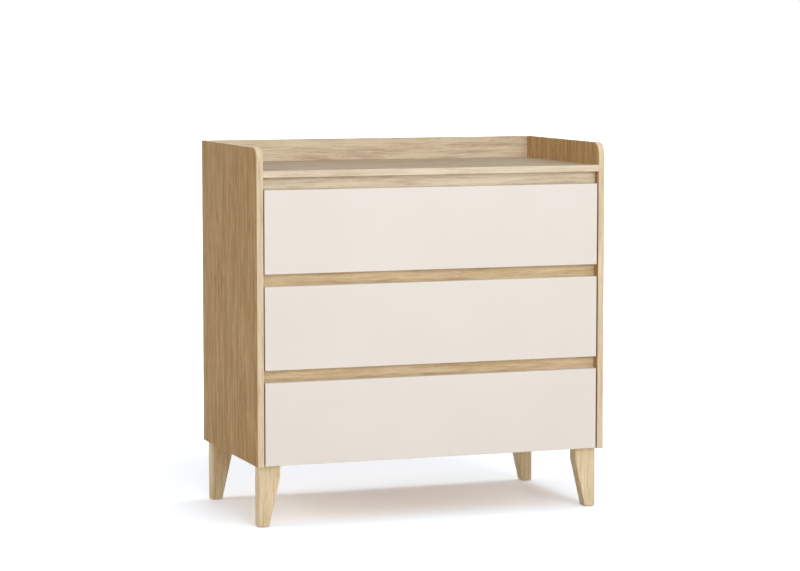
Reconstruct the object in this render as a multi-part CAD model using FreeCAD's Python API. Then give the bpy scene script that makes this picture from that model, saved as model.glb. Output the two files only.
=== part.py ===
"""Chest of drawers with three inset drawers, a low gallery round the top and four tapered legs.

Millimetres. The origin is on the floor under the middle of the chest.
X runs to the right, Y runs from the front to the back and Z runs up.
The drawers slide out along -Y on ball runners with three members each.
"""

import FreeCAD, Part
import math
import os

from FreeCAD import Vector

os.makedirs("parts", exist_ok=True)

# Carcass
overall_width = 900.0
overall_depth = 477.0
side_height = 764.0
board = 16.0
gallery_height = 55.0
gallery_corner_radius = 30.0

# Fronts and the finger gaps above them
front_thickness = 16.0
front_edge_radius = 1.0
front_recess = 1.0
front_side_gap = 3.3
front_bottom_reveal = 1.5
finger_gap = 30.0
rail_setback = 23.5
rail_overlap = 10.0

# Back panel, held in a groove all round, in the middle of the gallery's back rail
back_panel_thickness = 3.0
back_panel_inset = 6.5
groove_depth = 6.0
groove_play = 0.2

# Legs
leg_height = 150.0
leg_top_width = 55.0
leg_foot_width = 27.5
leg_thickness = 33.5
leg_straight = 30.0
leg_edge_radius = 8.0
leg_side_inset = 8.5
front_leg_setback = 25.0
rear_leg_setback = 9.5
glide_radius = 9.0
glide_thickness = 2.0

# Screws that hold the legs, driven down through the bottom panel
leg_screw_radius = 2.5
leg_screw_length = 50.0
leg_screw_head_radius = 5.0
leg_screw_head_height = 3.0
leg_screw_place_shares = (0.25, 0.75)

# Cam fittings between the side panels and the top and bottom panels
cam_radius = 7.5
cam_height = 12.5
cam_edge_distance = 24.0
cam_setback = 60.0
cam_slot_clearance = 0.5
cam_bolt_radius = 3.5
cam_bolt_thread_radius = 2.5
cam_bolt_thread_length = 11.0
cam_bolt_play = 0.3

# Dowels between the side panels and the rails
dowel_radius = 4.0
dowel_length = 30.0
dowel_side_depth = 11.0
dowel_place_shares = (0.28, 0.72)

# Drawer boxes
drawer_board = 12.0
drawer_length = 440.0
drawer_height = 150.0
drawer_floor_thickness = 3.0
drawer_floor_height = 8.0
drawer_groove_depth = 5.0
drawer_rail_clearance = 8.0

# Ball runners
runner_length = 400.0
runner_height = 45.0
runner_depth = 12.7
runner_wall = 1.2
runner_bend = 1.2
runner_front_play = 3.0
runner_travel = 380.0
ball_diameter = 3.2
ball_play = 0.2
ball_row_length = 180.0
race_lip = 0.6
middle_web_clearance = 2.2
middle_flange_reach = 1.7
bumper_length = 6.0
bumper_play = 0.3

# Screws of the runners
runner_screw_radius = 2.0
runner_screw_length = 13.0
runner_screw_head_radius = 3.6
runner_screw_head_height = 1.5
runner_screw_setback = 37.0
runner_screw_pitch = 288.0

# Hidden hardware and its bores are drawn with flats
hardware_sides = 8
cam_sides = 12

# Places worked out from the sizes above
outer_x = overall_width / 2
inner_x = outer_x - board
front_y = -overall_depth / 2
back_y = overall_depth / 2
side_top_z = leg_height + side_height
top_face_z = side_top_z - gallery_height
top_under_z = top_face_z - board
bottom_face_z = leg_height + board
rail_y = front_y + rail_setback
back_panel_y = back_y - back_panel_inset - back_panel_thickness
leg_x = outer_x - leg_side_inset
levels = ("lower", "middle", "upper")
front_height = (top_under_z - leg_height - front_bottom_reveal - len(levels) * finger_gap) / len(levels)
front_pitch = front_height + finger_gap
front_back_y = front_y + front_recess + front_thickness
box_half_width = inner_x - runner_depth
box_back_y = front_back_y + drawer_length
runner_front_y = front_back_y + runner_front_play

# The profile of a runner, measured from the side panel towards the drawer and up from the runner's middle
half_wall = runner_wall / 2
race_radius = ball_diameter / 2 + ball_play + half_wall
outer_flange_v = runner_height / 2 - half_wall
outer_ball_v = outer_flange_v - race_radius
middle_flange_v = outer_ball_v - race_radius
inner_ball_v = middle_flange_v - race_radius
inner_flange_v = inner_ball_v - race_radius
middle_web_u = runner_wall + middle_web_clearance + half_wall
inner_web_u = runner_depth - half_wall
ball_u = (middle_web_u + inner_web_u) / 2


def block(x0, x1, y0, y1, z0, z1):
    """A board between two corners."""
    return Part.makeBox(x1 - x0, y1 - y0, z1 - z0, Vector(x0, y0, z0))


def rod(radius, length, start, direction, sides=hardware_sides):
    """A bar or bore of the given radius across its flats."""
    corner_radius = radius / math.cos(math.pi / sides)
    turns = [2 * math.pi * (i + 1 / 2) / sides for i in range(sides + 1)]
    points = [Vector(corner_radius * math.cos(turn), corner_radius * math.sin(turn), 0) for turn in turns]
    solid = Part.Face(Part.makePolygon(points)).extrude(Vector(0, 0, length))
    solid.Placement = FreeCAD.Placement(start, FreeCAD.Rotation(Vector(0, 0, 1), direction))
    return solid


def mirrored(shape):
    """The same piece on the other side of the chest."""
    return shape.mirror(Vector(0, 0, 0), Vector(1, 0, 0))


def pair(shape):
    return [shape, mirrored(shape)]


def save(name, solids):
    shape = solids if isinstance(solids, Part.Shape) else Part.makeCompound(solids)
    shape.exportStep("parts/" + name + ".step")


def front_bottom(level):
    """Height of the lower edge of one drawer's front."""
    return leg_height + front_bottom_reveal + levels.index(level) * front_pitch


def runner_middle(level):
    return box_bottom(level) + drawer_height / 2


def box_bottom(level):
    return front_bottom(level) + rail_overlap + drawer_rail_clearance


def back_groove(x0, x1, z0, z1):
    """The groove's cutter, a little wider than the back panel that it holds."""
    front = back_panel_y - groove_play
    rear = back_panel_y + back_panel_thickness + groove_play
    return block(x0, x1, front, rear, z0, z1)


def rail_spans():
    """Name, lower and upper edge of each front rail."""
    spans = []
    for level in levels:
        gap_low = front_bottom(level) + front_height
        gap_high = gap_low + finger_gap
        high = top_under_z if level == levels[-1] else gap_high + rail_overlap
        spans.append(("front_rail_" + level, gap_low - rail_overlap, high))
    return spans


def dowel_rows():
    """Y and Z of the middle of each dowel in the right hand side panel."""
    rows = [(rail_y + board / 2, low, high) for name, low, high in rail_spans()]
    rows.append((back_y - board / 2, top_under_z, side_top_z))
    return [(y, low + share * (high - low)) for y, low, high in rows for share in dowel_place_shares]


def dowel_at(y, z):
    return rod(dowel_radius, dowel_length, Vector(inner_x + dowel_side_depth, y, z), Vector(-1, 0, 0))


def cam_places():
    """Y of each cam, height of the panel's middle, and the face that the cam is let in from."""
    places = []
    for panel_z, face_z, into in ((top_under_z, top_under_z, 1), (leg_height, bottom_face_z, -1)):
        for y in (rail_y + cam_setback, back_panel_y - cam_setback):
            places.append((y, panel_z + board / 2, face_z, into))
    return places


def cam_housing(y, face_z, into):
    centre = Vector(inner_x - cam_edge_distance, y, face_z)
    return rod(cam_radius, cam_height, centre, Vector(0, 0, into), cam_sides)


def cam_bolt_thread(y, middle_z):
    start = Vector(inner_x, y, middle_z)
    return rod(cam_bolt_thread_radius, cam_bolt_thread_length, start, Vector(1, 0, 0))


def cam_bolt_shank(y, middle_z, play):
    start = Vector(inner_x, y, middle_z)
    return rod(cam_bolt_radius + play, cam_edge_distance, start, Vector(-1, 0, 0))


def side_panel():
    """The right hand side panel, its front top corner rounded."""
    corner = Vector(0, front_y + gallery_corner_radius, side_top_z - gallery_corner_radius)
    diagonal = gallery_corner_radius * math.sqrt(0.5)
    arc_start = Vector(0, front_y, corner.z)
    arc_middle = corner + Vector(0, -diagonal, diagonal)
    arc_end = Vector(0, corner.y, side_top_z)
    corners = [Vector(0, back_y, side_top_z), Vector(0, back_y, leg_height), Vector(0, front_y, leg_height)]
    edges = [Part.Arc(arc_start, arc_middle, arc_end).toShape()]
    edges += [
        Part.LineSegment(a, b).toShape()
        for a, b in zip([arc_end] + corners, corners + [arc_start])
    ]
    panel = Part.Face(Part.Wire(edges)).extrude(Vector(board, 0, 0))
    panel.translate(Vector(inner_x, 0, 0))
    groove_low = bottom_face_z - groove_depth
    groove_high = top_under_z + groove_depth
    cutters = [back_groove(inner_x, inner_x + groove_depth, groove_low, groove_high)]
    cutters += [dowel_at(y, z) for y, z in dowel_rows()]
    cutters += [cam_bolt_thread(y, middle_z) for y, middle_z, face_z, into in cam_places()]
    cutters += [screw for level in levels for screw in cabinet_screws(level)]
    return panel.cut(cutters)


def cammed_panel(low_z, face_z, y0, y1):
    """A panel between the side panels, bored for its cams and their bolts."""
    panel = block(-inner_x, inner_x, y0, y1, low_z, low_z + board)
    cutters = []
    for y, middle_z, cam_face_z, into in cam_places():
        if cam_face_z == face_z:
            cutters += pair(cam_housing(y, cam_face_z, into))
            cutters += pair(cam_bolt_shank(y, middle_z, cam_bolt_play))
    return panel.cut(cutters)


def rail(y0, z0, z1):
    """A rail between the side panels, bored for its dowels."""
    plain = block(-inner_x, inner_x, y0, y0 + board, z0, z1)
    dowels = [dowel_at(y, z) for y, z in dowel_rows() if z0 < z < z1]
    return plain.cut([half for dowel in dowels for half in pair(dowel)])


def top_panel():
    """The top panel lies in front of the gallery's back rail."""
    return cammed_panel(top_under_z, top_under_z, front_y, back_y - board)


def bottom_panel():
    panel = cammed_panel(leg_height, bottom_face_z, rail_y, back_y)
    groove = back_groove(-inner_x, inner_x, bottom_face_z - groove_depth, bottom_face_z)
    return panel.cut([groove] + leg_screws())


def gallery_back_rail():
    """The back rail of the gallery, grooved below for the back panel."""
    groove = back_groove(-inner_x, inner_x, top_under_z, top_under_z + groove_depth)
    return rail(back_y - board, top_under_z, side_top_z).cut(groove)


def back_panel():
    return block(
        groove_play - inner_x - groove_depth,
        inner_x + groove_depth - groove_play,
        back_panel_y,
        back_panel_y + back_panel_thickness,
        bottom_face_z - groove_depth,
        top_under_z + groove_depth - groove_play,
    )


def cams():
    """Each cam has a slot that takes the head of its bolt."""
    solids = []
    for y, middle_z, face_z, into in cam_places():
        half = cam_bolt_radius + cam_slot_clearance
        centre_x = inner_x - cam_edge_distance
        slot = block(centre_x, inner_x, y - half, y + half, middle_z - half, middle_z + half)
        solids += pair(cam_housing(y, face_z, into).cut(slot))
    return solids


def cam_bolts():
    solids = []
    for y, middle_z, face_z, into in cam_places():
        solids += pair(cam_bolt_thread(y, middle_z).fuse(cam_bolt_shank(y, middle_z, 0)))
    return solids


def leg(y0):
    """A right hand leg. Its outer face is upright and its inner face runs in towards the foot."""
    points = [
        Vector(leg_x, y0, glide_thickness),
        Vector(leg_x, y0, leg_height),
        Vector(leg_x - leg_top_width, y0, leg_height),
        Vector(leg_x - leg_top_width, y0, leg_height - leg_straight),
        Vector(leg_x - leg_foot_width, y0, glide_thickness),
    ]
    solid = Part.Face(Part.makePolygon(points + points[:1])).extrude(Vector(0, leg_thickness, 0))
    outer_face = max(solid.Faces, key=lambda face: face.CenterOfMass.x)
    upright = [edge for edge in outer_face.Edges if edge.BoundBox.ZLength > edge.BoundBox.YLength]
    return solid.makeFillet(leg_edge_radius, upright)


def leg_fronts():
    """Y of the front face of the front and rear legs."""
    return {"front": front_y + front_leg_setback, "rear": back_y - rear_leg_setback - leg_thickness}


def leg_screw(x, y):
    """A screw with its head let into the bottom panel, flush with its upper face."""
    head = rod(leg_screw_head_radius, leg_screw_head_height, Vector(x, y, bottom_face_z), Vector(0, 0, -1))
    shank = rod(leg_screw_radius, leg_screw_length, Vector(x, y, bottom_face_z), Vector(0, 0, -1))
    return head.fuse(shank)


def leg_screws():
    solids = []
    for y0 in leg_fronts().values():
        for share in leg_screw_place_shares:
            solids += pair(leg_screw(leg_x - share * leg_top_width, y0 + leg_thickness / 2))
    return solids


def glides():
    solids = []
    for y0 in leg_fronts().values():
        foot = Vector(leg_x - leg_foot_width / 2, y0 + leg_thickness / 2, 0)
        solids += pair(Part.makeCylinder(glide_radius, glide_thickness, foot))
    return solids


def drawer_front(level):
    """A front with the edges of its face rounded, grooved behind for the drawer's floor."""
    half = inner_x - front_side_gap
    z0 = front_bottom(level)
    board_front = block(-half, half, front_back_y - front_thickness, front_back_y, z0, z0 + front_height)
    face = min(board_front.Faces, key=lambda face: face.CenterOfMass.y)
    return board_front.makeFillet(front_edge_radius, face.Edges).cut(drawer_floor(level))


def drawer_side(level):
    """The right hand side of a drawer box, grooved for its floor."""
    z0 = box_bottom(level)
    x0 = box_half_width - drawer_board
    side = block(x0, box_half_width, front_back_y, box_back_y, z0, z0 + drawer_height)
    return side.cut(drawer_floor(level))


def drawer_floor(level):
    """The floor runs in grooves in the front and the sides, and under the back."""
    half = box_half_width - drawer_board + drawer_groove_depth
    y0 = front_back_y - drawer_groove_depth
    z0 = box_bottom(level) + drawer_floor_height
    return block(-half, half, y0, box_back_y, z0, z0 + drawer_floor_thickness)


def drawer_back(level):
    half = box_half_width - drawer_board
    z0 = box_bottom(level)
    floor_top = z0 + drawer_floor_height + drawer_floor_thickness
    return block(-half, half, box_back_y - drawer_board, box_back_y, floor_top, z0 + drawer_height)


def profile_point(u, v):
    return Vector(inner_x - u, 0, v)


def race(ball_v, from_deg, to_deg):
    """The arc of an edge that curls round a row of balls."""
    points = []
    for angle in (from_deg, (from_deg + to_deg) / 2, to_deg):
        turn = math.radians(angle)
        u = ball_u + race_radius * math.cos(turn)
        v = ball_v + race_radius * math.sin(turn)
        points.append(profile_point(u, v))
    return Part.Arc(*points).toShape()


def folds(*corners):
    """Straight stretches of the profile from corner to corner."""
    points = [profile_point(u, v) for u, v in corners]
    return [Part.LineSegment(a, b).toShape() for a, b in zip(points, points[1:])]


def cabinet_profile():
    """Upper half of the member on the side panel. Its edge curls round the outer balls."""
    lip_u = ball_u + race_radius
    lip = folds((lip_u, outer_ball_v), (lip_u, outer_ball_v - race_lip))
    flange = folds(
        (half_wall, 0),
        (half_wall, outer_flange_v - runner_bend),
        (half_wall + runner_bend, outer_flange_v),
        (ball_u, outer_flange_v),
    )
    return flange + [race(outer_ball_v, 90, 0)] + lip


def middle_profile():
    """Upper half of the middle member. Its flange runs between the two rows of balls."""
    return folds(
        (middle_web_u, 0),
        (middle_web_u, middle_flange_v - runner_bend),
        (middle_web_u + runner_bend, middle_flange_v),
        (ball_u + middle_flange_reach, middle_flange_v),
    )


def drawer_profile():
    """Upper half of the member on the drawer. Its edge curls back round the inner balls."""
    lip_u = ball_u - race_radius
    lip = folds((lip_u, inner_ball_v), (lip_u, inner_ball_v + race_lip))
    flange = folds(
        (inner_web_u, 0),
        (inner_web_u, inner_flange_v - runner_bend),
        (inner_web_u - runner_bend, inner_flange_v),
        (ball_u, inner_flange_v),
    )
    return flange + [race(inner_ball_v, 270, 180)] + lip


def rolled_member(half_profile, y0, length, middle_z):
    """A strip of steel rolled to the profile and its mirror image, with mitred bends."""
    lower = [edge.mirror(Vector(0, 0, 0), Vector(0, 0, 1)) for edge in half_profile]
    path = Part.Wire(Part.__sortEdges__(half_profile + lower))
    faces = [path.makeOffset2D(side * half_wall, join=2, openResult=True) for side in (1, -1)]
    ends = [[face.OrderedVertexes[i].Point for face in faces] for i in (0, -1)]
    edges = [edge for face in faces for edge in face.Edges]
    edges += [Part.LineSegment(a, b).toShape() for a, b in ends]
    member = Part.Face(Part.Wire(Part.__sortEdges__(edges))).extrude(Vector(0, length, 0))
    member.translate(Vector(0, y0, middle_z))
    return member


def ball_row(v, y0, middle_z):
    """One row of balls in its cage, drawn as a rod of the balls' diameter."""
    start = Vector(inner_x - ball_u, y0, middle_z + v)
    return rod(ball_diameter / 2, ball_row_length, start, Vector(0, 1, 0))


def screw_places():
    first = runner_front_y + runner_screw_setback
    return (first, first + runner_screw_pitch)


def runner_screw(seat_u, towards_drawer, y, z):
    """A pan head screw that seats on a member's web and runs into the board behind it."""
    way = Vector(-towards_drawer, 0, 0)
    seat = Vector(inner_x - seat_u, y, z)
    shank = rod(runner_screw_radius, runner_screw_length, seat, way)
    head = rod(runner_screw_head_radius, runner_screw_head_height, seat, way.negative())
    return head.fuse(shank)


def cabinet_screws(level):
    return [runner_screw(runner_wall, -1, y, runner_middle(level)) for y in screw_places()]


def drawer_screws(level):
    return [runner_screw(runner_depth - runner_wall, 1, y, runner_middle(level)) for y in screw_places()]


def member_length():
    """The members that slide stop short of the bumper."""
    return runner_length - bumper_length - bumper_play


def cabinet_member(level):
    member = rolled_member(cabinet_profile(), runner_front_y, runner_length, runner_middle(level))
    return member.cut(cabinet_screws(level))


def middle_member(level):
    return rolled_member(middle_profile(), runner_front_y, member_length(), runner_middle(level))


def drawer_member(level):
    member = rolled_member(drawer_profile(), runner_front_y, member_length(), runner_middle(level))
    return member.cut(drawer_screws(level))


def ball_rows(v, level):
    """Both rows of one stage. They stay between their members over the whole travel."""
    overlap = member_length() - runner_travel / 2
    y0 = runner_front_y + runner_travel / 4 + (overlap - ball_row_length) / 2
    return [ball_row(side * v, y0, runner_middle(level)) for side in (-1, 1)]


def bumper(level):
    """The block at the rear of the member on the side panel, which stops the others."""
    y1 = runner_front_y + runner_length
    low = runner_middle(level) - middle_flange_v
    high = runner_middle(level) + middle_flange_v
    return block(inner_x - ball_u, inner_x - runner_wall, y1 - bumper_length, y1, low, high)


def build_carcass():
    save("side_panel_right", side_panel())
    save("side_panel_left", mirrored(side_panel()))
    save("top_panel", top_panel())
    save("bottom_panel", bottom_panel())
    save("gallery_back_rail", gallery_back_rail())
    for name, low, high in rail_spans():
        save(name, rail(rail_y, low, high))
    save("back_panel", back_panel())
    save("cam_locks", cams())
    save("cam_bolts", cam_bolts())
    save("dowels", [half for y, z in dowel_rows() for half in pair(dowel_at(y, z))])


def build_legs():
    for name, y0 in leg_fronts().items():
        right = leg(y0)
        save("leg_" + name + "_right", right.cut(leg_screws()))
        save("leg_" + name + "_left", mirrored(right).cut(leg_screws()))
    save("leg_screws", leg_screws())
    save("leg_glides", glides())


def build_drawer(level):
    name = level + "_drawer_"
    side = drawer_side(level).cut(drawer_screws(level))
    save(name + "front", drawer_front(level))
    save(name + "side_right", side)
    save(name + "side_left", mirrored(side))
    save(name + "back", drawer_back(level))
    save(name + "floor", drawer_floor(level))


def build_runners(level):
    name = level + "_runner_"
    save(name + "cabinet_right", cabinet_member(level))
    save(name + "cabinet_left", mirrored(cabinet_member(level)))
    save(name + "middle_members", pair(middle_member(level)))
    save(name + "drawer_right", drawer_member(level))
    save(name + "drawer_left", mirrored(drawer_member(level)))
    save(name + "outer_balls", [half for row in ball_rows(outer_ball_v, level) for half in pair(row)])
    save(name + "inner_balls", [half for row in ball_rows(inner_ball_v, level) for half in pair(row)])
    save(name + "drawer_screws", [half for screw in drawer_screws(level) for half in pair(screw)])


build_carcass()
build_legs()
for level in levels:
    build_drawer(level)
    build_runners(level)
save("runner_bumpers", [half for level in levels for half in pair(bumper(level))])
save("runner_cabinet_screws", [half for level in levels for s in cabinet_screws(level) for half in pair(s)])
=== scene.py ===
"""Looks of the chest of drawers: oak pattern boards, cream fronts, solid wood legs and ball runners.

Metres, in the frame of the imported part. The chest stands on the floor, with its front towards -Y.
"""

import math

import bmesh
import bpy
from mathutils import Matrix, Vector


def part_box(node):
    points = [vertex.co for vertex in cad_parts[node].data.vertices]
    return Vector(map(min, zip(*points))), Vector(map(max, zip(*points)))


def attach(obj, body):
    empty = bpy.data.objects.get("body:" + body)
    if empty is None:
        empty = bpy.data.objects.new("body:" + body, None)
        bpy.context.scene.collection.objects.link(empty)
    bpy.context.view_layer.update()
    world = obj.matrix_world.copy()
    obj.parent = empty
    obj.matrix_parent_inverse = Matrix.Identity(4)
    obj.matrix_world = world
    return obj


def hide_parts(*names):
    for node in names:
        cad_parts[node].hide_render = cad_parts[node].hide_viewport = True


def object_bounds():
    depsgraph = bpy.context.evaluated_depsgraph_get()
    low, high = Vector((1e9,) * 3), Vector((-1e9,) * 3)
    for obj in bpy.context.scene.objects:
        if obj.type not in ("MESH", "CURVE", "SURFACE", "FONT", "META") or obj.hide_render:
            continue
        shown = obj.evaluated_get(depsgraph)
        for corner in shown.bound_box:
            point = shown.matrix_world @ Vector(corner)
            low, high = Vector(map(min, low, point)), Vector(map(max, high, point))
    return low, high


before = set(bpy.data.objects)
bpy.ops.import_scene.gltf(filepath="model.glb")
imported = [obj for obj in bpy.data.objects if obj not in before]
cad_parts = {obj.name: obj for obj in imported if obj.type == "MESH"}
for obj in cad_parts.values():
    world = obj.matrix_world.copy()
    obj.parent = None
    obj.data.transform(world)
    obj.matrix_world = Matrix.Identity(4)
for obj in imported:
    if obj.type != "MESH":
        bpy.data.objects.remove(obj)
cad_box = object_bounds()
scene = bpy.context.scene

X, Y, Z = 0, 1, 2
MM = 0.001
WHITE = (1.0, 1.0, 1.0, 1.0)
SHARP_ANGLE = math.radians(35)
FRONT_MIDDLE = Vector((0.0, cad_box[0][Y], (cad_box[0][Z] + cad_box[1][Z]) / 2))
LEVELS = ("lower", "middle", "upper")
SIDES = ("left", "right")


# Shader nodes

MIDDLE_TONE = 0.45
RUBBED_WIDTH = 2.5 * MM
RUBBED_LEAST = 0.25


def srgb(red, green, blue):
    """A colour written as it looks, 0 to 255, in the linear values of a shader."""
    def linear(value):
        share = value / 255
        return share / 12.92 if share <= 0.04045 else ((share + 0.055) / 1.055) ** 2.4
    return (linear(red), linear(green), linear(blue), 1.0)


def node(tree, kind, inputs=None, **settings):
    """A shader node. Each of its inputs is a value, or an output of another node."""
    made = tree.nodes.new("ShaderNode" + kind)
    for name, value in settings.items():
        setattr(made, name, value)
    for key, value in (inputs or {}).items():
        if isinstance(value, bpy.types.NodeSocket):
            tree.links.new(value, made.inputs[key])
        else:
            made.inputs[key].default_value = value
    return made


def math_node(tree, operation, *values, clamp=False):
    return node(tree, "Math", dict(enumerate(values)), operation=operation, use_clamp=clamp).outputs[0]


def spread(tree, value, low, high, to_low=0.0, to_high=1.0, smooth=True):
    """The value's stretch from low to high, spread from to_low to to_high and held beyond."""
    inputs = {"Value": value, "From Min": low, "From Max": high, "To Min": to_low, "To Max": to_high}
    kind = "SMOOTHSTEP" if smooth else "LINEAR"
    return node(tree, "MapRange", inputs, interpolation_type=kind).outputs["Result"]


def mixed(tree, share, first, second):
    """The first colour where the share is 0, and the second where it is 1."""
    return node(tree, "Mix", {0: share, 6: first, 7: second}, data_type="RGBA").outputs[2]


def noise(tree, place, scale, detail=2.0, roughness=0.5, distortion=0.0):
    inputs = {
        "Vector": place, "Scale": scale, "Detail": detail,
        "Roughness": roughness, "Distortion": distortion,
    }
    return node(tree, "TexNoise", inputs).outputs[0]


def drawn_out(tree, place, axis, share):
    """Coordinates in which a texture is drawn out along an axis."""
    scale = [1.0, 1.0, 1.0]
    scale[axis] = share
    return node(tree, "Mapping", {"Vector": place, "Scale": scale}).outputs[0]


def tones(tree, value, colours):
    """A colour ramp through a light, a middle and a dark colour."""
    ramp = node(tree, "ValToRGB", {"Fac": value})
    elements = ramp.color_ramp.elements
    elements.new(1.0)
    for element, place, colour in zip(elements, (0.0, MIDDLE_TONE, 1.0), colours):
        element.position = place
        element.color = colour
    return ramp.outputs["Color"]


def new_tree(name):
    made = bpy.data.materials.new(name)
    made.use_nodes = True
    return made, made.node_tree, made.node_tree.nodes["Principled BSDF"]


def object_place(tree):
    return node(tree, "TexCoord").outputs["Object"]


def normal_part(tree, axis):
    """How far a surface faces along an axis of its piece, from -1 to 1."""
    normal = node(tree, "TexCoord").outputs["Normal"]
    return node(tree, "SeparateXYZ", {0: normal}).outputs[axis]


def round_the_edge(tree, place, faced):
    """Coordinates whose Z runs on round the edges of a side panel, as the grain of its edge band does."""
    parts = node(tree, "SeparateXYZ", {0: place}).outputs
    along = math_node(tree, "ADD", parts[Y], parts[Z])
    edge_place = node(tree, "CombineXYZ", {0: parts[X], 2: along}).outputs[0]
    return node(tree, "Mix", {0: faced, 4: edge_place, 5: place}, data_type="VECTOR").outputs[1]


def dress(tree, shader, colour, roughness):
    tree.links.new(colour, shader.inputs["Base Color"])
    tree.links.new(roughness, shader.inputs["Roughness"])


def bump(tree, shader, height, distance, strength):
    made = node(tree, "Bump", {"Height": height, "Distance": distance, "Strength": strength})
    tree.links.new(made.outputs["Normal"], shader.inputs["Normal"])


def rubbed_edges(tree, place):
    """How much an edge is rubbed by hands and cloths: 0 away from edges, and patchy along them."""
    rounded = node(tree, "Bevel", {"Radius": RUBBED_WIDTH}, samples=4).outputs["Normal"]
    true = node(tree, "NewGeometry").outputs["Normal"]
    agree = node(tree, "VectorMath", {0: rounded, 1: true}, operation="DOT_PRODUCT").outputs["Value"]
    patches = spread(tree, noise(tree, place, PATCH_SCALE, detail=4.0), 0.38, 0.62, RUBBED_LEAST, 1.0)
    return math_node(tree, "MULTIPLY", spread(tree, agree, 0.88, 0.995, 1.0, 0.0), patches)


def worn_away(tree, rubbed, share, colour, worn):
    """A colour that gives way by a share to a worn one where it is rubbed."""
    return mixed(tree, math_node(tree, "MULTIPLY", rubbed, share), colour, worn)


# Materials

# Scales of the textures. The higher, the finer.
PATCH_SCALE = 30.0
WAVER_SCALE = 90.0
FIBRE_SCALE = 380.0
PORE_SCALE = 2100.0
BAND_SCALE = 110.0
COAT_CLOUD_SCALE = 5.0
COAT_SHEEN_SCALE = 60.0
COAT_PEEL_SCALE = 700.0
PEARL_SCALE = 900.0
FELT_SCALE = 480.0
FELT_CLOUD_SCALE = 9.0
PLATING_CLOUD_SCALE = 45.0
ROLLING_SCALE = 1500.0
GRIT_SCALE = 1800.0

# Heights of the relief in the surfaces.
OAK_RELIEF = 0.12 * MM
PEEL_RELIEF = 0.06 * MM
PEARL_RELIEF = 0.08 * MM
FELT_RELIEF = 0.08 * MM
ROLLING_RELIEF = 0.03 * MM
GRIT_RELIEF = 0.04 * MM

# Shares of a texture's scale that are left along the grain or the rolling, which draws it out.
RING_DRAW = 0.06
WAVER_DRAW = 0.05
FIBRE_DRAW = 0.045
PORE_DRAW = 0.05
BAND_DRAW = 0.065
ROLLING_DRAW = 0.01

WAVER_REACH = 1.6
RING_DARKNESS = 0.14
PORE_DARKNESS = 0.3
FIBRE_HEIGHT = 0.4
FELT_CLOUD_SHARE = 0.15
POLISH = 0.12
GRIT_SHADE = 0.82


def wood_figure(tree, place, grain, ring_count, ring_scale):
    """Growth rings, fibres, pores and broad bands of oak, each from 0 to 1."""
    def along_grain(draw, scale, detail, roughness=0.5):
        return noise(tree, drawn_out(tree, place, grain, draw), scale, detail, roughness)

    field = along_grain(RING_DRAW, ring_scale, 1.0, 0.3)
    waver = along_grain(WAVER_DRAW, WAVER_SCALE, 2.0)
    phase = math_node(tree, "MULTIPLY", field, ring_count)
    phase = math_node(tree, "FRACT", math_node(tree, "MULTIPLY_ADD", waver, WAVER_REACH, phase))
    late = spread(tree, phase, 0.0, 0.75, 1.0, 0.0)
    sharp = spread(tree, phase, 0.8, 1.0)
    rings = math_node(tree, "MAXIMUM", late, sharp)
    fibres = along_grain(FIBRE_DRAW, FIBRE_SCALE, 5.0, 0.72)
    pores = spread(tree, along_grain(PORE_DRAW, PORE_SCALE, 1.0), 0.56, 0.68)
    pores = math_node(tree, "MULTIPLY", pores, spread(tree, rings, 0.1, 0.8, 0.35, 1.0))
    bands = along_grain(BAND_DRAW, BAND_SCALE, 4.0, 0.75)
    return rings, fibres, pores, bands


def oak(name, grain, across, face, edge, roughness=0.52, gloss=0.15, figure=1.0,
        ring_count=34.0, ring_scale=3.1, upright_panel=False):
    """Oak or oak pattern foil, with its grain along an axis. A board's edges have tones of their own."""
    made, tree, shader = new_tree(name)
    place = object_place(tree)
    faced = spread(tree, math_node(tree, "ABSOLUTE", normal_part(tree, across)), 0.5, 0.95)
    if upright_panel:
        place = round_the_edge(tree, place, faced)
    rings, fibres, pores, bands = wood_figure(tree, place, grain, ring_count, ring_scale)
    dark = math_node(tree, "MULTIPLY", rings, RING_DARKNESS * figure)
    dark = math_node(tree, "ADD", dark, spread(tree, fibres, 0.3, 0.7, -0.3, 0.45, smooth=False))
    dark = math_node(tree, "ADD", dark, spread(tree, bands, 0.3, 0.7, -0.2, 0.8, smooth=False))
    dark = math_node(tree, "ADD", dark, math_node(tree, "MULTIPLY", pores, PORE_DARKNESS), clamp=True)
    board = mixed(tree, faced, tones(tree, dark, edge), tones(tree, dark, face))
    rubbed = rubbed_edges(tree, place)
    rough = spread(tree, dark, 0.0, 1.0, roughness - 0.05, roughness + 0.1)
    rough = math_node(tree, "MULTIPLY_ADD", rubbed, -POLISH, rough)
    dress(tree, shader, worn_away(tree, rubbed, 0.5, board, edge[0]), rough)
    shader.inputs["Specular IOR Level"].default_value = gloss
    raised = math_node(tree, "MULTIPLY", fibres, FIBRE_HEIGHT)
    height = math_node(tree, "ADD", raised, math_node(tree, "MULTIPLY", pores, -1.0))
    bump(tree, shader, height, OAK_RELIEF, 0.6)
    return made


def lacquer(name, colour, shade, worn):
    """Matt lacquer: faint clouds of tone, the fine peel of a sprayed coat, and edges polished by use."""
    made, tree, shader = new_tree(name)
    place = object_place(tree)
    clouds = noise(tree, place, COAT_CLOUD_SCALE, detail=3.0, roughness=0.55)
    coat = mixed(tree, spread(tree, clouds, 0.3, 0.7), colour, shade)
    rubbed = rubbed_edges(tree, place)
    rough = spread(tree, noise(tree, place, COAT_SHEEN_SCALE, detail=3.0), 0.3, 0.7, 0.42, 0.5)
    rough = math_node(tree, "MULTIPLY_ADD", rubbed, -POLISH, rough)
    dress(tree, shader, worn_away(tree, rubbed, 0.35, coat, worn), rough)
    shader.inputs["Specular IOR Level"].default_value = 0.35
    bump(tree, shader, noise(tree, place, COAT_PEEL_SCALE, detail=1.0), PEEL_RELIEF, 0.35)
    return made


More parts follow.
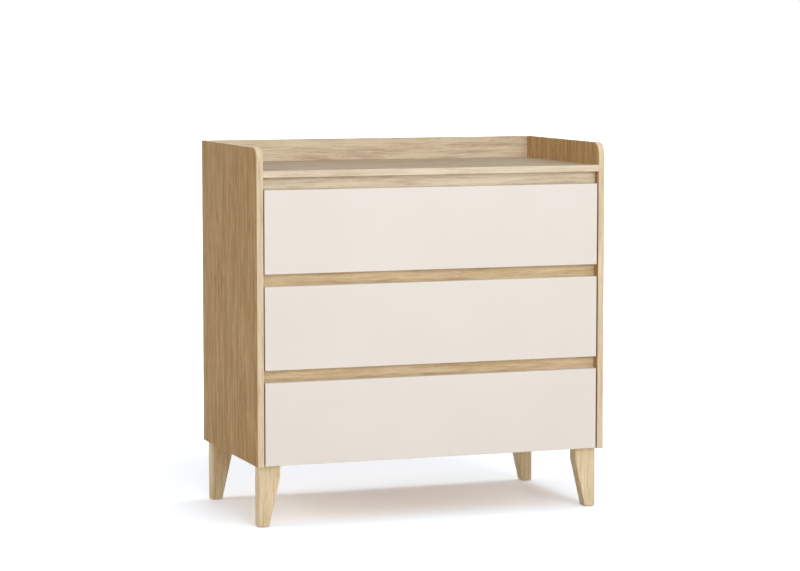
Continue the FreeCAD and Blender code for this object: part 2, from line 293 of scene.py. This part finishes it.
def melamine(name, colour, shade, worn):
    """Pale pressed foil with a fine pearl in its surface, a little brighter where its edges are rubbed."""
    made, tree, shader = new_tree(name)
    place = object_place(tree)
    pearl = noise(tree, place, PEARL_SCALE, detail=2.0)
    foil = mixed(tree, spread(tree, pearl, 0.35, 0.65), colour, shade)
    rubbed = rubbed_edges(tree, place)
    rough = spread(tree, rubbed, 0.0, 1.0, 0.45, 0.34)
    dress(tree, shader, worn_away(tree, rubbed, 0.5, foil, worn), rough)
    bump(tree, shader, pearl, PEARL_RELIEF, 0.5)
    return made


def hardboard(name, axis, faced_way, foil, raw, raw_dark):
    """Thin fibreboard with foil on the face that looks one way along an axis, and raw behind."""
    made, tree, shader = new_tree(name)
    place = object_place(tree)
    faced = math_node(tree, "MULTIPLY", normal_part(tree, axis), faced_way)
    faced = spread(tree, faced, 0.3, 0.7)
    fibres = noise(tree, place, FELT_SCALE, detail=4.0, roughness=0.7, distortion=1.2)
    clouds = noise(tree, place, FELT_CLOUD_SCALE, detail=3.0)
    felted = math_node(tree, "MULTIPLY", fibres, 1.0 - FELT_CLOUD_SHARE)
    felted = math_node(tree, "MULTIPLY_ADD", clouds, FELT_CLOUD_SHARE, felted)
    brown = mixed(tree, spread(tree, felted, 0.35, 0.65), raw, raw_dark)
    dress(tree, shader, mixed(tree, faced, brown, foil), spread(tree, faced, 0.0, 1.0, 0.62, 0.42))
    bump(tree, shader, fibres, FELT_RELIEF, 0.5)
    return made


def plated_steel(name, colour, shade, along, roughness=0.32):
    """Zinc plated steel, faintly clouded, with the fine lines of the rolling."""
    made, tree, shader = new_tree(name)
    place = object_place(tree)
    clouds = noise(tree, place, PLATING_CLOUD_SCALE, detail=3.0)
    lines = noise(tree, drawn_out(tree, place, along, ROLLING_DRAW), ROLLING_SCALE, detail=2.0)
    plating = mixed(tree, spread(tree, clouds, 0.35, 0.65), colour, shade)
    dress(tree, shader, plating, spread(tree, lines, 0.3, 0.7, roughness - 0.08, roughness + 0.1))
    shader.inputs["Metallic"].default_value = 1.0
    bump(tree, shader, lines, ROLLING_RELIEF, 0.5)
    return made


def moulded(name, colour, roughness):
    """Moulded plastic with a fine spark-eroded skin."""
    made, tree, shader = new_tree(name)
    place = object_place(tree)
    grit = noise(tree, place, GRIT_SCALE, detail=2.0)
    shade = tuple(GRIT_SHADE * part for part in colour[:3]) + (1.0,)
    skin = mixed(tree, spread(tree, grit, 0.3, 0.7), colour, shade)
    dress(tree, shader, skin, spread(tree, grit, 0.3, 0.7, roughness - 0.05, roughness + 0.08))
    bump(tree, shader, grit, GRIT_RELIEF, 0.5)
    return made


# Each oak has a light, a middle and a dark tone.
# The left side panel's face tones are darker than its foil: painted shade, for the face that looks away
# from the lamps.
SHADED_LEFT_FACE = (srgb(204, 172, 123), srgb(185, 150, 100), srgb(153, 117, 70))
# The right side panel's face tones carry the same painted shade, lightened a little as painted light on
# its inner face above the top.
SHADED_RIGHT_FACE = (srgb(213, 180, 134), srgb(195, 158, 110), srgb(163, 124, 78))
# The rails' face tones are lighter than their foil: painted light in the shade of their recesses behind
# the fronts. The bottom panel shares them.
BOARD_FACE_PAINTED_LIGHT = (srgb(238, 215, 177), srgb(224, 199, 160), srgb(197, 168, 130))
# The upper rail's face tones are lighter still: painted light in its recess under the top panel.
PALE_FACE_PAINTED_LIGHT = (srgb(246, 232, 206), srgb(236, 220, 193), srgb(208, 186, 158))
# The gallery rail's face tones are lightened: painted light, for the front lamp's light that falls off
# towards the back.
GALLERY_FACE_PAINTED_LIGHT = (srgb(237, 220, 193), srgb(225, 206, 178), srgb(194, 171, 144))
# The top panel's face tones are darker and greyer than its foil: painted shade on the top.
SHADED_TOP_FACE = (srgb(188, 170, 145), srgb(171, 151, 125), srgb(144, 122, 95))
BAND_EDGE = (srgb(238, 221, 191), srgb(227, 207, 175), srgb(204, 178, 143))
TOP_EDGE = (srgb(235, 222, 200), srgb(226, 210, 184), srgb(204, 183, 153))
LEG_FACE = (srgb(244, 227, 196), srgb(234, 214, 178), srgb(207, 179, 138))

# Fibreboard has the tone of its foil and two tones of its raw back.
FIBREBOARD = (srgb(232, 228, 220), srgb(166, 132, 97), srgb(134, 101, 69))

oak_left_shaded = oak("oak_left_shaded", Z, X, SHADED_LEFT_FACE, BAND_EDGE, gloss=0.05, figure=0.3, upright_panel=True)
oak_right_shaded = oak("oak_right_shaded", Z, X, SHADED_RIGHT_FACE, BAND_EDGE, gloss=0.05, figure=0.3, upright_panel=True)
oak_top = oak("oak_top", X, Z, SHADED_TOP_FACE, TOP_EDGE, gloss=0.3)
oak_board = oak("oak_board", X, Y, BOARD_FACE_PAINTED_LIGHT, BAND_EDGE, figure=0.7)
oak_pale_painted_light = oak("oak_pale_painted_light", X, Y, PALE_FACE_PAINTED_LIGHT, TOP_EDGE)
oak_gallery_painted_light = oak("oak_gallery_painted_light", X, Y, GALLERY_FACE_PAINTED_LIGHT, TOP_EDGE)
oak_bottom = oak("oak_bottom", X, Z, BOARD_FACE_PAINTED_LIGHT, BAND_EDGE)
leg_wood = oak("leg_wood", Z, Y, LEG_FACE, LEG_FACE, roughness=0.42, ring_count=60.0, ring_scale=6.0)
dowel_wood = oak("dowel_wood", X, X, LEG_FACE, LEG_FACE)
front_lacquer = lacquer("front_lacquer", srgb(239, 232, 226), srgb(237, 230, 223), srgb(226, 214, 200))
drawer_board = melamine("drawer_board", srgb(235, 232, 225), srgb(226, 222, 214), srgb(243, 241, 236))
back_fibreboard = hardboard("fibreboard_back", Y, -1.0, *FIBREBOARD)
floor_fibreboard = hardboard("fibreboard_floor", Z, 1.0, *FIBREBOARD)
runner_steel = plated_steel("runner_steel", srgb(178, 181, 186), srgb(158, 162, 168), Y, roughness=0.38)
ball_steel = plated_steel("ball_steel", srgb(184, 186, 190), srgb(166, 168, 174), Y, roughness=0.22)
screw_steel = plated_steel("screw_steel", srgb(208, 206, 196), srgb(190, 188, 180), X)
cam_zinc = plated_steel("cam_zinc", srgb(176, 178, 182), srgb(150, 152, 158), X, roughness=0.5)
bumper_plastic = moulded("bumper_plastic", srgb(52, 52, 54), 0.45)
glide_plastic = moulded("glide_plastic", srgb(226, 221, 212), 0.4)

materials = {
    "side_panel_left": oak_left_shaded,
    "side_panel_right": oak_right_shaded,
    "top_panel": oak_top,
    "bottom_panel": oak_bottom,
    "gallery_back_rail": oak_gallery_painted_light,
    "back_panel": back_fibreboard,
    "leg_screws": screw_steel,
    "leg_glides": glide_plastic,
    "cam_locks": cam_zinc,
    "cam_bolts": screw_steel,
    "dowels": dowel_wood,
    "runner_bumpers": bumper_plastic,
    "runner_cabinet_screws": screw_steel,
}
for end in ("front", "rear"):
    for side in SIDES:
        materials["leg_" + end + "_" + side] = leg_wood
for level in LEVELS:
    materials["front_rail_" + level] = oak_pale_painted_light if level == "upper" else oak_board
    materials[level + "_drawer_front"] = front_lacquer
    materials[level + "_drawer_back"] = drawer_board
    materials[level + "_drawer_floor"] = floor_fibreboard
    materials[level + "_runner_drawer_screws"] = screw_steel
    materials[level + "_runner_middle_members"] = runner_steel
    materials[level + "_runner_outer_balls"] = ball_steel
    materials[level + "_runner_inner_balls"] = ball_steel
    for side in SIDES:
        materials[level + "_drawer_side_" + side] = drawer_board
        materials[level + "_runner_cabinet_" + side] = runner_steel
        materials[level + "_runner_drawer_" + side] = runner_steel


# Finish of the CAD nodes

WELD_DISTANCE = 0.01 * MM
BOARD_EDGE = 0.5 * MM
DRAWER_EDGE = 0.6 * MM
LEG_EDGE = 1.2 * MM
BOARDS = (oak_left_shaded, oak_right_shaded, oak_top, oak_board, oak_pale_painted_light, oak_gallery_painted_light, oak_bottom)
EDGE_RADII = {**dict.fromkeys(BOARDS, BOARD_EDGE), drawer_board: DRAWER_EDGE, leg_wood: LEG_EDGE}


def finish(name, material, edge):
    """A material, and edges rounded by the given radius."""
    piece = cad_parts[name]
    piece.data.materials.clear()
    piece.data.materials.append(material)
    if edge:
        weld = piece.modifiers.new("weld", "WELD")
        weld.merge_threshold = WELD_DISTANCE
        rounding = piece.modifiers.new("rounding", "BEVEL")
        rounding.width = edge
        rounding.segments = 2
        rounding.limit_method = "ANGLE"
        rounding.angle_limit = SHARP_ANGLE
        normals = piece.modifiers.new("normals", "WEIGHTED_NORMAL")
        normals.weight = 100


for name, material in materials.items():
    finish(name, material, EDGE_RADII.get(material, 0.0))


# Pieces that stand for plain nodes

JOIN_DISTANCE = 0.001 * MM

# Screws. The dome's pairs are shares of the head's radius and of its height.
RUNNER_HEAD = 1.5 * MM
LEG_HEAD = 3.0 * MM
HEAD_SIDES = 48
SHANK_SIDES = 12
SHANK_SHARE = 2.0 / 3.6
ROOT_SHARE = 0.7
THREAD_PITCH_SHARE = 0.42
THREAD_WIDTH_SHARE = 0.7
RECESS_WIDTH_SHARE = 0.13
RECESS_REACH_SHARE = 0.56
RECESS_DEPTH_SHARE = 0.8
DOME_SHARES = (
    (0.0, 1.0), (0.1, 1.0), (0.2, 1.0), (0.3, 0.99), (0.4, 0.98), (0.5, 0.96), (0.55, 0.94),
    (0.58, 0.93), (0.7, 0.86), (0.82, 0.74), (0.92, 0.55), (0.98, 0.32), (1.0, 0.0),
)

# Balls and cages. The strips' pairs are a depth from the side panel, and a height from the balls.
BALL_PITCH = 9.0 * MM
BALL_RINGS = 8
BALL_SIDES = 14
SHEET = 0.6 * MM
OUTER_STRIP = (
    (2.0 * MM, SHEET / 2), (9.6 * MM, SHEET / 2), (9.6 * MM, -SHEET / 2),
    (2.6 * MM, -SHEET / 2), (2.6 * MM, -6.0 * MM), (2.0 * MM, -6.0 * MM),
)
INNER_STRIP = (
    (6.5 * MM, -SHEET / 2), (10.9 * MM, -SHEET / 2), (10.9 * MM, 2.0 * MM),
    (10.3 * MM, 2.0 * MM), (10.3 * MM, SHEET / 2), (6.5 * MM, SHEET / 2),
)


def solid_boxes(name):
    """The lowest and highest corner of each separate solid in a node, always in the same order."""
    mesh = bmesh.new()
    mesh.from_mesh(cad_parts[name].data)
    bmesh.ops.remove_doubles(mesh, verts=mesh.verts, dist=JOIN_DISTANCE)
    waiting = set(mesh.verts)
    boxes = []
    while waiting:
        reached = [waiting.pop()]
        places = []
        while reached:
            vert = reached.pop()
            places.append(vert.co.copy())
            beside = {edge.other_vert(vert) for edge in vert.link_edges} & waiting
            waiting -= beside
            reached.extend(beside)
        boxes.append((Vector(map(min, *places)), Vector(map(max, *places))))
    mesh.free()
    return sorted(boxes, key=lambda box: tuple(box[0]))


def stand_in(name, mesh, material, body, node_name):
    """A piece made of a finished mesh, which rides on a body in place of a node."""
    bmesh.ops.recalc_face_normals(mesh, faces=mesh.faces)
    for face in mesh.faces:
        face.smooth = True
    data = bpy.data.meshes.new(name)
    mesh.to_mesh(data)
    mesh.free()
    data.set_sharp_from_angle(angle=SHARP_ANGLE)
    data.materials.append(material)
    piece = bpy.data.objects.new(name, data)
    scene.collection.objects.link(piece)
    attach(piece, body)
    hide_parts(node_name)


def turned(mesh, seat, way, sides, rings, sink=None):
    """A turned form. A ring is a radius and a distance from the seat; sink lowers points of it."""
    across = way.orthogonal().normalized()
    upright = way.cross(across)
    loops = []
    for radius, distance in rings:
        loop = []
        for index in range(sides if radius else 1):
            turn = 2 * math.pi * index / sides
            a, b = radius * math.cos(turn), radius * math.sin(turn)
            depth = sink(a, b) if sink else 0.0
            loop.append(mesh.verts.new(seat + across * a + upright * b + way * (distance + depth)))
        loops.append(loop)
    for first, second in zip(loops, loops[1:]):
        for index in range(sides):
            corners = [first[index % len(first)], first[(index + 1) % len(first)]]
            corners += [second[(index + 1) % len(second)], second[index % len(second)]]
            mesh.faces.new(list(dict.fromkeys(corners)))


def pan_screw(mesh, box, axis, into, head_height):
    """A screw with a domed head and a cross recess. Its shank points into the board, along the axis."""
    low, high = box
    across = (axis + 1) % 3
    head_radius = (high[across] - low[across]) / 2
    middle = (low + high) / 2
    way = Vector((0.0, 0.0, 0.0))
    way[axis] = into
    half = (high[axis] - low[axis]) / 2
    seat = middle + way * (head_height - half)
    shank_length = 2 * half - head_height
    shank_radius = SHANK_SHARE * head_radius

    def recess(a, b):
        """The depth of a cross of two slots, here counted along the screw."""
        in_slot = min(abs(a), abs(b)) < RECESS_WIDTH_SHARE * head_radius
        in_reach = math.hypot(a, b) < RECESS_REACH_SHARE * head_radius
        return RECESS_DEPTH_SHARE * head_height if in_slot and in_reach else 0.0

    dome = [(radius * head_radius, -rise * head_height) for radius, rise in DOME_SHARES]
    turned(mesh, seat, way, HEAD_SIDES, dome, recess)
    pitch = THREAD_PITCH_SHARE * head_radius
    turns = int(shank_length / pitch) - 1
    root = ROOT_SHARE * shank_radius
    thread = [(head_radius, 0.0), (root, 0.0)]
    for index in range(turns):
        start = pitch * (index + 0.5)
        thread.append((root, start))
        thread.append((shank_radius, start + pitch / 2))
        thread.append((root, start + THREAD_WIDTH_SHARE * pitch))
    thread += [(root, shank_length - 2 * pitch / 3), (0.0, shank_length)]
    turned(mesh, seat, way, SHANK_SIDES, thread)


def prism(mesh, outline, y0, y1):
    """A straight strip along Y of one outline of X and Z."""
    ends = [[mesh.verts.new((x, y, z)) for x, z in outline] for y in (y0, y1)]
    for end in ends:
        mesh.faces.new(end)
    for index in range(len(outline)):
        after = (index + 1) % len(outline)
        mesh.faces.new((ends[0][index], ends[0][after], ends[1][after], ends[1][index]))


def ball_cage(mesh, box, panel_x, middle_z, strip):
    """One row of balls, each held round its middle by a folded steel strip.

    The strip's heights count away from the middle of the runner.
    """
    low, high = box
    centre = (low + high) / 2
    radius = (high.z - low.z) / 2
    count = int((high.y - low.y) / BALL_PITCH)
    first = centre.y - BALL_PITCH * (count - 1) / 2
    half_turns = [math.pi * step / BALL_RINGS for step in range(1, BALL_RINGS)]
    profile = [(radius * math.sin(turn), -radius * math.cos(turn)) for turn in half_turns]
    profile = [(0.0, -radius), *profile, (0.0, radius)]
    for index in range(count):
        seat = Vector((centre.x, first + BALL_PITCH * index, centre.z))
        turned(mesh, seat, Vector((1.0, 0.0, 0.0)), BALL_SIDES, profile)
    side = math.copysign(1.0, centre.x)
    away = math.copysign(1.0, centre.z - middle_z)
    prism(mesh, [(side * (panel_x - u), centre.z + away * v) for u, v in strip], low.y, high.y)


def downward(box):
    """-1 for any solid, which stands for a screw driven down."""
    return -1.0


def outward(box):
    """1 for a solid on the right of the chest and -1 for one on its left."""
    return math.copysign(1.0, box[0].x + box[1].x)


def inward(box):
    """The other way than outward."""
    return -outward(box)


def pan_screws(name, body, node_name, axis, into, head_height):
    """Pan screws in place of a node's plain ones. Into gives the way of each along the axis."""
    mesh = bmesh.new()
    for box in solid_boxes(node_name):
        pan_screw(mesh, box, axis, into(box), head_height)
    stand_in(name, mesh, screw_steel, body, node_name)


def ball_cages(level, row, strip):
    """Balls and cages in place of a level's plain rows."""
    node_name = level + "_runner_" + row + "_balls"
    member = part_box(level + "_runner_cabinet_right")
    middle_z = (member[0][Z] + member[1][Z]) / 2
    panel_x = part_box("side_panel_right")[0][X]
    mesh = bmesh.new()
    for box in solid_boxes(node_name):
        ball_cage(mesh, box, panel_x, middle_z, strip)
    body = level + "_" + row + "_balls"
    stand_in(level + "_" + row + "_ball_cages", mesh, ball_steel, body, node_name)


pan_screws("leg_pan_screws", "carcass", "leg_screws", Z, downward, LEG_HEAD)
pan_screws("cabinet_pan_screws", "carcass", "runner_cabinet_screws", X, outward, RUNNER_HEAD)
for level in LEVELS:
    drawer_screws = level + "_runner_drawer_screws"
    pan_screws(level + "_drawer_pan_screws", level + "_drawer", drawer_screws, X, inward, RUNNER_HEAD)
for level in LEVELS:
    ball_cages(level, "outer", OUTER_STRIP)
    ball_cages(level, "inner", INNER_STRIP)


# Floor, light and camera

FLOOR_HALF = 60.0
FLOOR_HEIGHT = -0.2 * MM
FLOOR_SEEN = (1.355, 1.505, 1.65, 1.0)
FLOOR_MIRRORED = (1.35, 1.35, 1.35, 1.0)
FLOOR_BOUNCE = (0.8, 0.745, 0.67, 1.0)
SHADOW_GLOW = (0.11, 0.08, 0.09, 1.0)
SHADOW_GLOW_END = 0.7
WHITE_GLOW_START = 2.1
SKY_LIGHT = (0.3, 0.293, 0.282, 1.0)
PLAIN = (1.0, 1.0, 1.0)
KEY_TINT = (1.0, 1.0, 0.99)
COOL = (0.93, 1.0, 1.08)
WARM = (1.04, 1.0, 0.88)
SENSOR_WIDTH = 36.0
LENS = 120.405
CAMERA_PLACE = (-2.2792, -6.2974, 1.1886)
CAMERA_DOWN = math.radians(5.431)
CAMERA_RIGHT = math.radians(19.871)


def seen_and_mirrored(tree):
    """1 for a ray from the camera, and 1 for a ray that a polished or clear piece sends."""
    rays = node(tree, "LightPath").outputs
    mirrored = math_node(tree, "MAXIMUM", rays["Is Glossy Ray"], rays["Is Transmission Ray"])
    return rays["Is Camera Ray"], mirrored


def floor():
    """A white floor without end, with the chest's shadow on it. From below, the camera sees through it.

    Away from the chest it glows, so that it stays white there. Its tint is for the camera alone, and
    polished pieces mirror it as plain white.
    """
    made, tree, shader = new_tree("studio_floor")
    seen, mirrored = seen_and_mirrored(tree)
    paint = mixed(tree, seen, mixed(tree, mirrored, FLOOR_BOUNCE, FLOOR_MIRRORED), FLOOR_SEEN)
    diffuse = node(tree, "BsdfDiffuse", {"Color": paint})
    away = node(tree, "VectorMath", {0: object_place(tree)}, operation="LENGTH").outputs["Value"]
    glow = mixed(tree, spread(tree, away, SHADOW_GLOW_END, WHITE_GLOW_START), SHADOW_GLOW, WHITE)
    strength = math_node(tree, "MAXIMUM", seen, mirrored)
    lift = node(tree, "Emission", {"Color": glow, "Strength": strength})
    both = node(tree, "AddShader", {0: diffuse.outputs[0], 1: lift.outputs[0]})
    below = node(tree, "NewGeometry").outputs["Backfacing"]
    below = math_node(tree, "MULTIPLY", below, seen)
    clear = node(tree, "BsdfTransparent")
    shown = node(tree, "MixShader", {0: below, 1: both.outputs[0], 2: clear.outputs[0]})
    tree.links.new(shown.outputs[0], tree.nodes["Material Output"].inputs["Surface"])
    tree.nodes.remove(shader)
    signs = ((-1, -1), (1, -1), (1, 1), (-1, 1))
    corners = [(x * FLOOR_HALF, y * FLOOR_HALF, FLOOR_HEIGHT) for x, y in signs]
    mesh = bpy.data.meshes.new("studio_floor")
    mesh.from_pydata(corners, [], [(0, 1, 2, 3)])
    mesh.materials.append(made)
    plane = bpy.data.objects.new("studio_floor", mesh)
    scene.collection.objects.link(plane)


def sky():
    """Plain dim light from all round, which the camera and reflections see as white."""
    world = bpy.data.worlds.new("studio")
    world.use_nodes = True
    tree = world.node_tree
    white = math_node(tree, "MAXIMUM", *seen_and_mirrored(tree))
    tree.links.new(mixed(tree, white, SKY_LIGHT, WHITE), tree.nodes["Background"].inputs["Color"])
    scene.world = world


def toward(azimuth, elevation):
    """A direction from the chest. Azimuth 0 is straight in front of it and 90 on its right."""
    turn, rise = math.radians(azimuth), math.radians(elevation)
    return Vector((math.sin(turn) * math.cos(rise), -math.cos(turn) * math.cos(rise), math.sin(rise)))


def hang(name, light, place, way):
    """A lamp at a place, shining against the way it is seen from the chest."""
    holder = bpy.data.objects.new(name, light)
    holder.location = place
    holder.rotation_euler = way.to_track_quat("Z", "Y").to_euler()
    holder.visible_camera = False
    holder.visible_glossy = False
    scene.collection.objects.link(holder)


def far_lamp(name, azimuth, elevation, strength, angle, colour):
    """A broad distant lamp that gives a surface square to it its strength."""
    light = bpy.data.lights.new(name, "SUN")
    light.energy = strength * math.pi
    light.angle = math.radians(angle)
    light.color = colour
    way = toward(azimuth, elevation)
    hang(name, light, way, way)


def softbox(name, azimuth, elevation, strength, distance, width, colour):
    """A square lamp near the chest, whose light falls off down the fronts."""
    light = bpy.data.lights.new(name, "AREA")
    light.shape = "SQUARE"
    light.size = width
    light.energy = strength * (math.pi * distance) ** 2
    light.color = colour
    way = toward(azimuth, elevation)
    hang(name, light, FRONT_MIDDLE + way * distance, way)


def camera():
    """The photograph's view, from a little left of the front and above the top."""
    lens = bpy.data.cameras.new("camera")
    lens.sensor_width = SENSOR_WIDTH
    lens.lens = LENS
    holder = bpy.data.objects.new("camera", lens)
    holder.location = CAMERA_PLACE
    holder.rotation_euler = (math.pi / 2 - CAMERA_DOWN, 0.0, -CAMERA_RIGHT)
    scene.collection.objects.link(holder)
    scene.camera = holder


floor()
sky()
far_lamp("key", azimuth=2.0, elevation=14.0, strength=0.25, angle=30.0, colour=KEY_TINT)
softbox("front_box", azimuth=2.0, elevation=41.0, strength=0.45, distance=2.0, width=2.4, colour=COOL)
far_lamp("overhead", azimuth=140.0, elevation=80.0, strength=0.16, angle=22.0, colour=PLAIN)
far_lamp("rear_fill", azimuth=165.0, elevation=5.0, strength=0.25, angle=10.0, colour=PLAIN)
far_lamp("left_fill", azimuth=-90.0, elevation=30.0, strength=0.15, angle=30.0, colour=WARM)
far_lamp("right_fill", azimuth=90.0, elevation=30.0, strength=0.04, angle=30.0, colour=WARM)
camera()
scene.view_settings.view_transform = "Standard"
